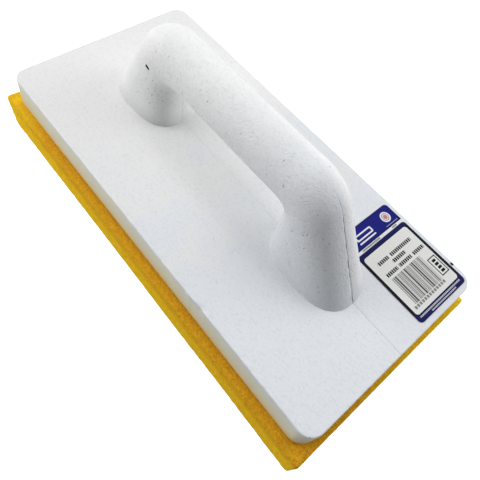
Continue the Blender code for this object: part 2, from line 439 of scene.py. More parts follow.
def mesh_object(name, points, faces):
    """A linked object made of points and faces."""
    mesh = bpy.data.meshes.new(name)
    mesh.from_pydata([tuple(p) for p in points], [], faces)
    mesh.update()
    return link(name, mesh)


def bmesh_object(name, bm):
    """A linked object made of a bmesh, which is freed."""
    mesh = bpy.data.meshes.new(name)
    bm.to_mesh(mesh)
    bm.free()
    return link(name, mesh)


def vertex_vectors(obj, field):
    """Positions ("co") or normals ("normal") of a mesh object's vertices as an array."""
    found = np.empty(len(obj.data.vertices) * 3)
    obj.data.vertices.foreach_get(field, found)
    return found.reshape(-1, 3)


def set_coordinates(obj, points):
    """Move a mesh object's vertices."""
    obj.data.vertices.foreach_set("co", np.asarray(points).ravel())
    obj.data.update()


def set_attribute(obj, name, values):
    """Store one number per vertex for the shader."""
    layer = obj.data.attributes.new(name, "FLOAT", "POINT")
    layer.data.foreach_set("value", np.asarray(values, dtype=np.float32))


def grid_lines(half, step, extra):
    """Grid positions from -half to half, with extra lines close to some places."""
    count = max(2, round(2 * half / step))
    regular = np.linspace(-half, half, count + 1)
    near = np.array(sorted(extra))
    kept = [x for x in regular[1:-1] if np.abs(near - x).min() > step * MERGE_SHARE]
    ends = [] if abs(near[0] + half) < TINY else [-half, half]
    return sorted(set(kept) | set(extra) | set(ends))


def edge_lines(half, reach, steps):
    """Lines that follow a rounded edge at both ends of a side."""
    return [sign * (half - reach * k / steps) for sign in (-1, 1) for k in range(steps + 1)]


def lattice_box(xs, ys, zs, flat_side, flat_margin):
    """Points and faces of a closed box on the given grid lines.

    The middle of the side that stays covered is one flat face, flat_margin lines from the rim.
    """
    index = {}
    points = []

    def corner(i, j, k):
        key = (i, j, k)
        if key not in index:
            index[key] = len(points)
            points.append((xs[i], ys[j], zs[k]))
        return index[key]

    def wall(first, second, k):
        return [corner(*first, k), corner(*second, k), corner(*second, k + 1), corner(*first, k + 1)]

    last_x, last_y, last_z = len(xs) - 1, len(ys) - 1, len(zs) - 1
    low_x, high_x = flat_margin, last_x - flat_margin
    low_y, high_y = flat_margin, last_y - flat_margin
    faces = []
    for k in (0, last_z):
        covered = (k == 0) == (flat_side == "bottom")
        for i in range(last_x):
            for j in range(last_y):
                if covered and low_x <= i < high_x and low_y <= j < high_y:
                    continue
                quad = [corner(i, j, k), corner(i + 1, j, k), corner(i + 1, j + 1, k), corner(i, j + 1, k)]
                faces.append(quad if k else quad[::-1])
    for k in range(last_z):
        for i in range(last_x):
            faces.append(wall((i, 0), (i + 1, 0), k))
            faces.append(wall((i + 1, last_y), (i, last_y), k))
        for j in range(last_y):
            faces.append(wall((0, j + 1), (0, j), k))
            faces.append(wall((last_x, j), (last_x, j + 1), k))
    k = 0 if flat_side == "bottom" else last_z
    path = [(i, low_y) for i in range(low_x, high_x)]
    path += [(high_x, j) for j in range(low_y, high_y)]
    path += [(i, high_y) for i in range(high_x, low_x, -1)]
    path += [(low_x, j) for j in range(high_y, low_y, -1)]
    rim = [corner(i, j, k) for i, j in path]
    faces.append(rim if k else rim[::-1])
    return np.array(points), faces


def ring_faces(rows, ring):
    """Quads between the rings of a tube, each ring a run of points."""
    faces = []
    for row in range(rows - 1):
        for here in range(ring):
            turn = (here + 1) % ring
            faces.append((row * ring + here, row * ring + turn,
                          (row + 1) * ring + turn, (row + 1) * ring + here))
    return faces


def perlin(points, size, offset=0.0):
    """Smooth noise of roughly -1 to 1 at every point; size is its grain."""
    shift = Vector([offset * share for share in NOISE_SHIFT])
    return np.array([noise.noise(Vector(p) / size + shift) for p in points])


def waves(points, layers):
    """Height of several layers of smooth noise together."""
    return sum(perlin(points, size, offset) * height for size, offset, height in layers)


def patches(points, level, swing, size, offset):
    """Smooth noise that swings about a level."""
    return level + swing * perlin(points, size, offset)


def cells(points, size, offset=0.0):
    """Distance to the nearest cell centre, and one random number per cell, at every point."""
    shift = Vector([offset * share for share in CELL_SHIFT])
    near, chance = [], []
    for p in points:
        distances, centres = noise.voronoi(Vector(p) / size + shift)
        near.append(distances[0])
        chance.append(noise.cell(centres[0] * CELL_SCRAMBLE + Vector((0.5, 0.5, 0.5))))
    return np.array(near), np.array(chance)


def ease(values, low, high):
    """Smooth step from 0 at low to 1 at high."""
    share = np.clip((values - low) / (high - low), 0.0, 1.0)
    return share * share * (3.0 - 2.0 * share)


def swell(values, middle, length):
    """Smooth hump of height 1 at the middle."""
    return np.exp(-((values - middle) / length) ** 2)


def soften_box(points, length, width, low, high, corner, edge, draft=0.0):
    """Turn a square-cornered box into one with rounded corners, rounded edges and drafted sides."""
    core = np.array([length / 2, width / 2]) - corner
    plan = points[:, :2]
    centre = np.clip(plan, -core, core)
    square = (plan - centre) / corner
    disc = square * np.sqrt(np.clip(1.0 - square[:, ::-1] ** 2 / 2, 0.0, 1.0))
    reach = np.linalg.norm(disc, axis=1)
    outward = disc / np.maximum(reach, TINY)[:, None]
    inset = (1.0 - reach) * corner
    height = points[:, 2] - low
    thick = high - low
    depth = np.minimum(height, thick - height)
    turn = np.where(depth < TINY, 1.0 - inset / edge, 1.0 + depth / edge)
    rounded = (turn > 0.0) & (turn < 2.0) & (reach > 0.0)
    angle = np.clip(turn, 0.0, 2.0) * pi / 4
    inset = np.where(rounded, edge * (1.0 - np.sin(angle)), inset)
    depth = np.where(rounded, edge * (1.0 - np.cos(angle)), depth)
    height = np.where(height > thick / 2, thick - depth, depth)
    stand_out = draft * (1.0 - height / thick) * (reach > 0.0)
    moved = centre + outward * (corner - inset + stand_out)[:, None]
    return np.column_stack([moved, height + low])


def soft_slab(name, length, width, low, high, step, corner, edge,
              flat_side, flat_margin, rim_steps=3, draft=0.0, extra=()):
    """A finely meshed slab: its square-cornered points, and its rounded object."""
    middle, tall = (low + high) / 2, (high - low) / 2
    xs = grid_lines(length / 2, step, edge_lines(length / 2, edge, rim_steps))
    ys = grid_lines(width / 2, step, edge_lines(width / 2, edge, rim_steps) + list(extra))
    zs = [middle + z for z in grid_lines(tall, step, edge_lines(tall, edge, rim_steps))]
    flat, faces = lattice_box(xs, ys, zs, flat_side, flat_margin)
    points = soften_box(flat, length, width, low, high, corner, edge, draft)
    return flat, mesh_object(name, points, faces)


def join(target, other, operation):
    """Apply a Boolean of two closed meshes, and remove the second."""
    step = target.modifiers.new("join", "BOOLEAN")
    step.operation = operation
    step.solver = "MANIFOLD"
    step.object = other
    graph = bpy.context.evaluated_depsgraph_get()
    made = bpy.data.meshes.new_from_object(target.evaluated_get(graph))
    target.modifiers.clear()
    target.data = made
    bpy.data.objects.remove(other, do_unlink=True)


def finish_piece(obj, name, node, finish, crisp):
    """Name a piece, give it its finish, and tie it to the frame."""
    obj.name = name
    obj.data.name = name
    obj.data.materials.clear()
    obj.data.materials.append(finish)
    obj.data.shade_smooth()
    obj.data.set_sharp_from_angle(angle=radians(crisp))
    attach(obj, "root")
    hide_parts(node)


# ---- moulded body


def near_rim(place, reach):
    """1 at the plate's upper near edge, 0 at the reach down its side and back on its top."""
    down, back = reach
    on_side = ease(place[:, 2], PLATE_TOP - down, PLATE_TOP)
    return on_side * ease(-place[:, 1], PLATE_WIDTH / 2 - back, PLATE_WIDTH / 2)


def edge_wear(place):
    """Height of the rough near edge, less the bruise in it."""
    x = place[:, 0]
    more = 1.0 + ROUGH_MORE * swell(x, ROUGH_MORE_X, ROUGH_MORE_LENGTH)
    rough = near_rim(place, ROUGH_REACH) * more * waves(place, EDGE_WAVES)
    bruise = swell(x, BRUISE_X, BRUISE_LENGTH) * patches(place, *BRUISE_BREAKS)
    return rough - bruise * near_rim(place, BRUISE_REACH) * BRUISE_DEPTH


def plate_shell():
    """Fine mesh of the plate, with a faint parting line across its top and ends."""
    seam = [-SEAM_RIM, -SEAM_FLOOR, SEAM_FLOOR, SEAM_RIM]
    flat, obj = soft_slab("plate_shell", PLATE_LENGTH, PLATE_WIDTH, PLATE_BOTTOM, PLATE_TOP,
                          PLATE_STEP, PLATE_CORNER, PLATE_EDGE, flat_side="bottom",
                          flat_margin=PLATE_MARGIN, draft=PLATE_DRAFT, extra=seam)
    groove = np.abs(flat[:, 1]) <= SEAM_FLOOR + TINY
    place, out = vertex_vectors(obj, "co"), vertex_vectors(obj, "normal")
    shown = ease(place[:, 2], PLATE_BOTTOM, PLATE_BOTTOM + PLATE_WAVES_FADE)
    front = ease(place[:, 0], *FRONT_SEAM)
    depth = groove * (PLATE_SEAM_DEPTH + FRONT_SEAM_DEPTH * front)
    moved = (waves(place, PLATE_WAVES) + edge_wear(place) - depth) * shown
    set_coordinates(obj, place + out * moved[:, None])
    # The seam attribute carries the painted shade in the groove.
    set_attribute(obj, "seam", groove * (PLATE_SEAM_SHADE + FRONT_SEAM_SHADE * front))
    obj.data.transform(Matrix.Translation((*PLATE_SHIFT, 0.0)))
    return obj


def leg_stations(leg):
    """Outer and inner (x, z) pairs down one half of the handle, from mid grip to the foot."""
    slope = radians(leg["slope"])
    bend, fillet = leg["outer_bend"], leg["inner_bend"]
    foot_run_z = GRIP_TOP - bend + bend * cos(slope)
    foot_run_x = leg["outer"] - foot_run_z / tan(slope)
    outer_x = foot_run_x - bend * sin(slope)
    inner_x = leg["inner"] - fillet
    straight = min(outer_x, inner_x)
    pairs = []
    for step in range(GRIP_STEPS + 1):
        x = straight * step / GRIP_STEPS
        pairs.append(((x, GRIP_TOP), (x, GRIP_UNDER)))
    for step in range(1, FAN_STEPS + 1):
        share = step / FAN_STEPS
        outer = (straight + (outer_x - straight) * share, GRIP_TOP)
        pairs.append((outer, (straight + (inner_x - straight) * share, GRIP_UNDER)))
    for step in range(1, BEND_STEPS + 1):
        outer_turn = slope * step / BEND_STEPS
        inner_turn = pi / 2 * step / BEND_STEPS
        outer = (outer_x + bend * sin(outer_turn), GRIP_TOP - bend + bend * cos(outer_turn))
        inner = (inner_x + fillet * sin(inner_turn), GRIP_UNDER - fillet + fillet * cos(inner_turn))
        pairs.append((outer, inner))
    for step in range(1, LEG_STEPS + 1):
        left = 1.0 - step / LEG_STEPS
        outer = (leg["outer"] - foot_run_z / tan(slope) * left, foot_run_z * left)
        pairs.append((outer, (leg["inner"], (GRIP_UNDER - fillet) * left)))
    return pairs


def leg_sections(leg, side):
    """Stations of one leg with half width, superellipse power and share of the way down."""
    pairs = leg_stations(leg)
    middles = [((a[0] + b[0]) / 2, (a[1] + b[1]) / 2) for a, b in pairs]
    run = [0.0]
    for here, after in zip(middles, middles[1:]):
        run.append(run[-1] + hypot(after[0] - here[0], after[1] - here[1]))
    start = run[GRIP_STEPS]
    sections = []
    for (outer, inner), distance in zip(pairs, run):
        share = max(0.0, (distance - start) / (run[-1] - start))
        half_width = GRIP_HALF_WIDTH + (FOOT_HALF_WIDTH - GRIP_HALF_WIDTH) * share ** FLARE_POWER
        power = GRIP_POWER + (FOOT_POWER - GRIP_POWER) * share
        pair = ((side * outer[0], outer[1]), (side * inner[0], inner[1]))
        sections.append((pair, half_width, power, share))
    (outer, inner), half_width, power, share = sections[-1]
    root = ((outer[0], -ROOT_DEPTH), (inner[0], -ROOT_DEPTH))
    return sections + [(root, half_width, power, share)]


def ring_angles(half_width, power):
    """Angles round a section, and whether each is on the floor of the parting line's groove."""
    rim = asin((SEAM_RIM / half_width) ** (power / 2))
    floor = asin((SEAM_FLOOR / half_width) ** (power / 2))
    groove = [(-rim, False), (-floor, True), (floor, True), (rim, False)]
    side = [(pi * step / RING_STEPS, False) for step in range(1, RING_STEPS)]
    half_turn = groove + side
    return half_turn + [(pi + angle, on_floor) for angle, on_floor in half_turn]


def signed_power(value, exponent):
    """A power that keeps the sign of its base."""
    return abs(value) ** exponent if value >= 0 else -abs(value) ** exponent


def handle_rings():
    """Points of the handle's rings from foot to foot, the count in a ring, and three arrays.

    The arrays say what is on the groove's floor, what is on the handle's outer half, and how far
    down the front leg a point is, as a share.
    """
    rear = leg_sections(REAR_LEG, -1)
    front = leg_sections(FRONT_LEG, 1)
    sections = [(s, -1) for s in reversed(rear[1:])] + [(s, 1) for s in front]
    points, groove, outside, lead = [], [], [], []
    for ((outer, inner), half_width, power, share), side in sections:
        middle = ((outer[0] + inner[0]) / 2, (outer[1] + inner[1]) / 2)
        reach = ((outer[0] - inner[0]) / 2, (outer[1] - inner[1]) / 2)
        for number, (angle, on_floor) in enumerate(ring_angles(half_width, power)):
            along = signed_power(cos(angle), 2 / power)
            across = signed_power(sin(angle), 2 / power)
            points.append((middle[0] + reach[0] * along + PLATE_SHIFT[0],
                           half_width * across + PLATE_SHIFT[1],
                           middle[1] + reach[1] * along + PLATE_TOP))
            groove.append(on_floor)
            outside.append(number < RING_STEPS)
            lead.append(share if side > 0 else 0.0)
    marks = [np.array(found, dtype=float) for found in (groove, outside, lead)]
    return points, len(points) // len(sections), marks


def handle_shell():
    """Fine loft of the handle, with the parting line open down the front leg."""
    points, ring, (groove, outside, lead) = handle_rings()
    faces = [(first, *rest[::-1]) for first, *rest in ring_faces(len(points) // ring, ring)]
    faces.append(list(range(ring)))
    faces.append([len(points) - 1 - k for k in range(ring)])
    obj = mesh_object("handle_shell", points, faces)
    place, out = vertex_vectors(obj, "co"), vertex_vectors(obj, "normal")
    shown = ease(place[:, 2], PLATE_TOP, PLATE_TOP + HANDLE_WAVES_FADE)
    split = np.clip(ease(lead, *SPLIT_RUN) * patches(place, *SPLIT_BREAKS), 0.0, 1.0) * outside
    faint = FAINT_SHARE * (1.0 - outside) * patches(place, *FAINT_BREAKS)
    depth = groove * (FAINT_DEPTH * faint + SPLIT_DEPTH * split)
    set_coordinates(obj, place + out * ((waves(place, HANDLE_WAVES) - depth) * shown)[:, None])
    # The seam attribute carries the painted shade in the groove and the crack.
    set_attribute(obj, "seam", groove * np.maximum(split * SPLIT_SHADE, faint * FAINT_SHADE))
    return obj


def blob(bm, centre, radii, direction=(1.0, 0.0, 0.0), normal=(0.0, 0.0, 1.0), fineness=MARK_FINENESS):
    """Add a closed ellipsoid: radii along the direction, across it and along the normal."""
    up = Vector(normal).normalized()
    along = Vector(direction)
    along = (along - up * along.dot(up)).normalized()
    turn = Matrix((along, up.cross(along), up)).transposed().to_4x4()
    place = Matrix.Translation(centre) @ turn @ Matrix.Diagonal((*radii, 1.0))
    bmesh.ops.create_icosphere(bm, subdivisions=fineness, radius=1.0, matrix=place)


def pit_places(place, share, count, spacing, draw):
    """Choose vertices for gas pits, no two closer than the spacing."""
    order = draw.choice(len(place), size=count * PIT_TRIES, replace=False, p=share / share.sum())
    kept = []
    for number in order:
        if all(np.linalg.norm(place[number] - place[k]) > spacing for k in kept):
            kept.append(number)
        if len(kept) == count:
            break
    return kept


def pit_shares(place, out):
    """How likely a pit is at each vertex, on the handle and on the plate's top."""
    x, y, z = place.T
    cluster = np.clip(patches(place, *PIT_CLUSTERS), PIT_LEAST_SHARE, None)
    clear_of_seam = np.abs(y - PLATE_SHIFT[1]) > PIT_CLEAR_OF_SEAM
    on_handle = (z > PLATE_TOP + HANDLE_PIT_FLOOR) & clear_of_seam
    far_share, extra, start, end = NEAR_PITS
    near_side = far_share + extra * ease(-y, start, end)
    inside = np.abs(x) < PLATE_LENGTH / 2 - PIT_CLEAR_OF_EDGE
    inside = inside & (np.abs(y) < PLATE_WIDTH / 2 - PIT_CLEAR_OF_EDGE)
    under_label = (x > PIT_CLEAR_OF_LABEL[0]) & (y > PIT_CLEAR_OF_LABEL[1])
    on_top = (np.abs(z - PLATE_TOP) < TOP_PIT_LEVEL) & (out[:, 2] > TOP_PIT_FACING) & inside
    return on_handle * near_side * cluster, on_top * clear_of_seam * ~under_label * cluster


def add_pits(bm, body):
    """Gas pits: long ones on the handle, rounder ones on the plate's top."""
    draw = np.random.default_rng(PIT_SEED)
    place, out = vertex_vectors(body, "co"), vertex_vectors(body, "normal")
    handle_share, top_share = pit_shares(place, out)
    for number in pit_places(place, handle_share, HANDLE_PITS, HANDLE_PIT_SPACING, draw):
        size = draw.uniform(*HANDLE_PIT_RADIUS)
        stretch = draw.uniform(*HANDLE_PIT_STRETCH)
        spot = Vector(place[number] + out[number] * size * HANDLE_PIT_LIFT)
        blob(bm, spot, (size * stretch, size, size), HANDLE_PIT_RUN, out[number], PIT_FINENESS)
    for number in pit_places(place, top_share, TOP_PITS, TOP_PIT_SPACING, draw):
        size = draw.uniform(*TOP_PIT_RADIUS)
        spot = Vector(place[number] + out[number] * size * TOP_PIT_LIFT)
        run = (draw.uniform(-1, 1), 1.0, 0.0)
        blob(bm, spot, (size * TOP_PIT_STRETCH, size, size), run, out[number], PIT_FINENESS)


def make_dents(body):
    """Everything that is cut out of the body: gas pits, the slit, the dot and the corner's nick."""
    bm = bmesh.new()
    add_pits(bm, body)
    pit_vertices = len(bm.verts)
    blob(bm, SLIT_PLACE, SLIT_RADII, SLIT_DIRECTION, NEARWARD)
    blob(bm, DOT_PLACE, DOT_RADII)
    blob(bm, NICK_PLACE, NICK_RADII, NICK_DIRECTION)
    made = bmesh_object("dents", bm)
    number = np.arange(len(made.data.vertices))
    # The seam attribute carries the painted shade in the pits, the slit, the dot and the nick.
    set_attribute(made, "seam", np.where(number < pit_vertices, PIT_SHADE, 1.0))
    return made


def make_body():
    """Plate and handle, moulded in one piece."""
    body = plate_shell()
    join(body, handle_shell(), "UNION")
    join(body, make_dents(body), "DIFFERENCE")
    finish_piece(body, "moulded_body", "float_body", foam_material(), BODY_CRISP)


# ---- sponge, adhesive and label


def make_sponge():
    """The coarse sponge: a saw-cut block whose open cells are dents in its mesh."""
    _, obj = soft_slab("sponge", SPONGE_LENGTH, SPONGE_WIDTH, 0.0, SPONGE_THICK, SPONGE_STEP,
                       SPONGE_CORNER, SPONGE_EDGE, flat_side="top",
                       flat_margin=SPONGE_MARGIN, rim_steps=2)
    place, out = vertex_vectors(obj, "co"), vertex_vectors(obj, "normal")
    small, small_chance = cells(place, *PORE_CELL)
    large, large_chance = cells(place, *HOLE_CELL)
    pore = ease(PORE_REACH - small, 0.0, PORE_SLOPE) * (PORE_LEAST + (1.0 - PORE_LEAST) * small_chance)
    hole = ease(HOLE_REACH - large, 0.0, HOLE_SLOPE) * (large_chance > HOLE_CHANCE)
    depth = np.maximum(pore * PORE_DEPTH, hole * HOLE_DEPTH)
    bow = waves(place, SPONGE_WAVES)
    bow = np.where(bow > 0.0, bow * ease(place[:, 2], 0.0, SPONGE_REST), bow)
    shaped = place + worn_rim(place) + sprung_corner(place)
    set_coordinates(obj, shaped + out * (bow - depth)[:, None])
    # The pore attribute carries the painted shade in the pores and holes.
    set_attribute(obj, "pore", np.maximum(pore * PORE_SHADE_SHARE, hole))
    finish_piece(obj, "sponge", "sponge_pad", sponge_material(), NEVER_CRISP)


def worn_rim(place):
    """How far the rim of the upper face has rounded over: in from the sides, and down from the top."""
    plan = np.abs(place[:, :2]) - (np.array([SPONGE_LENGTH, SPONGE_WIDTH]) / 2 - RIM_WEAR)
    beyond = np.clip(plan / RIM_WEAR, 0.0, 1.0)
    height = np.clip((place[:, 2] - SPONGE_THICK + RIM_WEAR) / RIM_WEAR, 0.0, 1.0)
    inward = -np.sign(place[:, :2]) * beyond * (height ** 2)[:, None] * RIM_WEAR * RIM_SHARE
    down = -np.max(beyond, axis=1) ** 2 * height * RIM_WEAR * RIM_SHARE
    return np.column_stack([inward, down])


def sprung_corner(place):
    """How far the free rear corner on the near side has sprung up and out of square."""
    x, y, z = place.T
    end, side = SPONGE_LENGTH / 2, SPONGE_WIDTH / 2
    free = ease(-x, end - SPRING_REACH[0], end) * ease(-y, side - SPRING_REACH[1], side)
    beyond = ease(-x, PLATE_LENGTH / 2 - SPRING_TUCK[0], end)
    beyond = beyond + ease(-y, PLATE_WIDTH / 2 - SPRING_TUCK[1], side)
    rise = free * ease(z, SPRING_FLOOR, SPONGE_THICK) * np.clip(beyond, 0.0, 1.0)
    out = free * (SPRING_FOOT + (1.0 - SPRING_FOOT) * z / SPONGE_THICK)
    return np.column_stack([SPRING[0] * out, SPRING[1] * out, SPRING[2] * rise])


def make_adhesive():
    """The film of contact adhesive, with an uneven edge where it was pressed out."""
    rings = ((GLUE_LOW, GLUE_ROUND), (GLUE_LOW + GLUE_LIP, 0.0),
             (GLUE_HIGH - GLUE_LIP, 0.0), (GLUE_HIGH, GLUE_ROUND))
    points = []
    for z, back in rings:
        for step in range(GLUE_STEPS):
            x, y, away = outline_point(step / GLUE_STEPS, PLATE_LENGTH, PLATE_WIDTH, PLATE_CORNER)
            inward = GLUE_SETBACK + back
            for distance, offset, size in GLUE_OOZE:
                inward += distance * noise.noise(Vector((x, y, offset)) / size)
            points.append((x - away[0] * inward + PLATE_SHIFT[0], y - away[1] * inward + PLATE_SHIFT[1], z))
    faces = [list(range(GLUE_STEPS))[::-1], [(len(rings) - 1) * GLUE_STEPS + k for k in range(GLUE_STEPS)]]
    obj = mesh_object("adhesive", points, faces + ring_faces(len(rings), GLUE_STEPS))
    finish_piece(obj, "adhesive", "adhesive_layer", adhesive_material(), FILM_CRISP)


def outline_point(share, length, width, radius):
    """Point and outward direction at a share of the way round a rounded rectangle."""
    run_x, run_y, arc = length - 2 * radius, width - 2 * radius, radius * pi / 2
    left = share * 2 * (run_x + run_y + 2 * arc)
    for turn in range(4):
        run, depth = (run_y, run_x) if turn % 2 == 0 else (run_x, run_y)
        angle = turn * pi / 2
        away, ahead = Vector((cos(angle), sin(angle))), Vector((-sin(angle), cos(angle)))
        if left <= run:
            place = away * (depth / 2 + radius) + ahead * (left - run / 2)
            return place.x, place.y, away
        left -= run
        if left <= arc:
            bend = angle + left / radius
            core = away * (depth / 2) + ahead * (run / 2)
            away = Vector((cos(bend), sin(bend)))
            place = core + away * radius
            return place.x, place.y, away
        left -= arc
    return length / 2, 0.0, Vector((1.0, 0.0))


def make_label():
    """The printed sticker beside the front foot."""
    _, obj = soft_slab("label", LABEL_LENGTH, LABEL_WIDTH, 0.0, LABEL_THICK, LABEL_STEP,
                       LABEL_CORNER, LABEL_EDGE, flat_side="bottom",
                       flat_margin=LABEL_MARGIN, rim_steps=2)
    place = vertex_vectors(obj, "co")
    place[:, 2] += waves(place, LABEL_WAVES)
    set_coordinates(obj, place)
    obj.location = (*LABEL_CENTRE, PLATE_TOP + LABEL_LIFT)
    finish_piece(obj, "label_sticker", "label", label_material(), FILM_CRISP)


# ---- material helpers


def feed(tree, node, inputs):
    """Fill a node's inputs. Each is a socket to link or a value to set."""
    for key, value in inputs.items():
        if isinstance(value, bpy.types.NodeSocket):
            tree.links.new(value, node.inputs[key])
        else:
            node.inputs[key].default_value = value


def put(tree, kind, inputs=None, **settings):
    """Add a shader node with its inputs and settings."""
    made = tree.nodes.new("ShaderNode" + kind)
    for name, value in settings.items():
        setattr(made, name, value)
    feed(tree, made, inputs or {})
    return made


def maths(tree, operation, *values):
    """Output of a Math node."""
    return put(tree, "Math", dict(enumerate(values)), operation=operation).outputs[0]


def times(tree, first, *others):
    """Product of several values."""
    for other in others:
        first = maths(tree, "MULTIPLY", first, other)
    return first


def opposite(tree, value):
    """1 where a mask is 0, and 0 where it is 1."""
    return maths(tree, "SUBTRACT", 1.0, value)


def vector_maths(tree, operation, *values):
    """Output of a Vector Math node."""
    return put(tree, "VectorMath", dict(enumerate(values)), operation=operation).outputs[0]


def remap(tree, value, low, high, to_low=0.0, to_high=1.0):
    """Value moved from one range to another, clamped, with a smooth step."""
    sockets = {0: value, 1: low, 2: high, 3: to_low, 4: to_high}
    return put(tree, "MapRange", sockets, interpolation_type="SMOOTHSTEP").outputs[0]


def rgba(colour):
    """A colour as a socket takes it; a socket is passed through."""
    return colour if isinstance(colour, bpy.types.NodeSocket) else (*colour, 1.0)


def paint(tree, share, under, over):
    """One colour over another."""
    sockets = {0: share, 6: rgba(under), 7: rgba(over)}
    return put(tree, "Mix", sockets, data_type="RGBA").outputs[2]


def grain(tree, place, size, detail=2.0, roughness=0.5):
    """Noise of 0 to 1 with features of about the given size in metres."""
    sockets = {"Vector": place, "Scale": 1.0 / size, "Detail": detail, "Roughness": roughness}
    return put(tree, "TexNoise", sockets).outputs[0]


def specks(tree, place, size, radius, chance):
    """Mask of round specks up to a radius, in that share of cells of the given size."""
    found = put(tree, "TexVoronoi", {"Vector": place, "Scale": 1.0 / size})
    odds = put(tree, "SeparateColor", {0: found.outputs["Color"]}).outputs[0]
    reach = times(tree, maths(tree, "SUBTRACT", odds, 1.0 - chance), radius / chance / size)
    return maths(tree, "GREATER_THAN", reach, found.outputs["Distance"])


def bump(tree, height, distance, under=None):
    """Normal that shows a height of 0 to 1 as the given number of metres."""
    sockets = {"Strength": 1.0, "Distance": distance, "Height": height}
    if under is not None:
        sockets["Normal"] = under
    return put(tree, "Bump", sockets).outputs[0]


def new_material(name):
    """A material, its node tree and its Principled shader."""
    made = bpy.data.materials.new(name)
    made.use_nodes = True
    return made, made.node_tree, made.node_tree.nodes["Principled BSDF"]


def object_place(tree):
    """Object coordinates, and their three parts."""
    place = put(tree, "TexCoord").outputs["Object"]
    return place, put(tree, "SeparateXYZ", {0: place}).outputs


def mask_attribute(tree, name):
    """A number stored on the mesh's vertices."""
    return put(tree, "Attribute", attribute_name=name).outputs["Fac"]


# ---- foam, sponge and adhesive


def foam_material():
    """White moulded hard foam: flow strokes on the grip, fine gas pits, and painted shade and painted
    yellow light reflected from the sponge on the plate's side.
    """
    made, tree, shader = new_material("hard_foam_finish")
    place, parts = object_place(tree)
    on_handle = remap(tree, parts[2], *FOAM_HANDLE_RANGE)
    strokes = maths(tree, "MAXIMUM", flow_strokes(tree, place, *LONG_STROKES),
                    flow_strokes(tree, place, *SHORT_STROKES))
    strokes = times(tree, strokes, on_handle)
    flecks = foam_flecks(tree, place, parts, on_handle)
    dots = specks(tree, place, *DOT_SPECKS)
    fine = grain(tree, place, *FOAM_FINE_GRAIN)
    beads = grain(tree, place, *FOAM_BEAD_GRAIN)
    colour = foam_ground(tree, place, parts)
    tints = (times(tree, strokes, STROKE_TINT), remap(tree, fine, *FOAM_FINE_TINT),
             remap(tree, beads, *FOAM_BEAD_TINT), times(tree, flecks, FLECK_TINT),
             times(tree, dots, DOT_TINT))
    for tint in tints:
        colour = paint(tree, tint, colour, FOAM_SHADE)
    # Painted shade and painted reflection of the sponge on the plate's side.
    colour = painted_side_bounce(tree, place, parts, colour)
    # Painted shade: the seam attribute darkens the grooves, the crack and the dents towards near black.
    colour = paint(tree, mask_attribute(tree, "seam"), colour, FOAM_RECESS_SHADE)
    normal = bump(tree, beads, FOAM_BEAD_DEPTH, bump(tree, fine, FOAM_FINE_DEPTH))
    for mask, depth in ((strokes, STROKE_DEPTH), (flecks, FLECK_DEPTH), (dots, DOT_DEPTH)):
        normal = bump(tree, opposite(tree, mask), depth, normal)
    feed(tree, shader, {"Base Color": colour, "Roughness": remap(tree, fine, *FOAM_ROUGHNESS),
                        "Specular IOR Level": FOAM_SPECULAR, "Normal": normal})
    return made


def foam_ground(tree, place, parts):
    """The foam's colour: cooler towards the front, with painted light on the handle's rear and far side."""
    tone = maths(tree, "ADD", grain(tree, place, *FOAM_TONE_GRAIN), times(tree, parts[0], FOAM_TONE_TILT))
    colour = paint(tree, remap(tree, tone, *FOAM_TONE_RANGE), FOAM_WARM, FOAM_COOL)
    # Painted light on the handle's rear and far side.
    rear = remap(tree, parts[0], *PAINTED_LIGHT_REAR)
    lit_sides = maths(tree, "MAXIMUM", rear, remap(tree, parts[1], *PAINTED_LIGHT_FAR))
    painted_light = times(tree, remap(tree, parts[2], *PAINTED_LIGHT_HEIGHTS), lit_sides)
    return paint(tree, painted_light, colour, FOAM_PAINTED_LIGHT)


def foam_flecks(tree, place, parts, on_handle):
    """Mask of small flecks on the handle, mostly on its near side."""
    stretched = vector_maths(tree, "MULTIPLY", place, FLECK_STRETCH)
    flecks = remap(tree, grain(tree, stretched, *FLECK_GRAIN), *FLECK_RANGE)
    return times(tree, flecks, times(tree, on_handle, remap(tree, parts[1], *FLECK_NEAR_RANGE)))


def painted_side_bounce(tree, place, parts, colour):
    """The colour with painted shade and painted yellow light reflected from the sponge on the plate's side,
    in patches, and a stronger amber painted reflection at its foot.
    """
    side_bounce = times(tree, remap(tree, parts[2], *SIDE_BOUNCE_HEIGHTS), remap(tree, parts[2], *SIDE_BOUNCE_END))
    side_bounce = times(tree, side_bounce, remap(tree, grain(tree, place, *SIDE_BOUNCE_GRAIN), *SIDE_BOUNCE_PATCHES))
    colour = paint(tree, side_bounce, colour, FOAM_SIDE_SHADE_AND_BOUNCE)
    return paint(tree, remap(tree, parts[2], *SPONGE_REFLECTION_HEIGHTS), colour, FOAM_SPONGE_REFLECTION)


def flow_strokes(tree, place, width, stretch, offset):
    """Mask of short slanting marks, where the foam skin wrinkled in the mould."""
    sockets = {0: place, 1: (offset, 0.0, 0.0), 2: (0.0, 0.0, radians(STROKE_TURN)),
               3: (1.0, stretch, stretch)}
    turned = put(tree, "Mapping", sockets, vector_type="TEXTURE").outputs[0]
    return remap(tree, grain(tree, turned, width, *STROKE_GRAIN), *STROKE_RANGE)


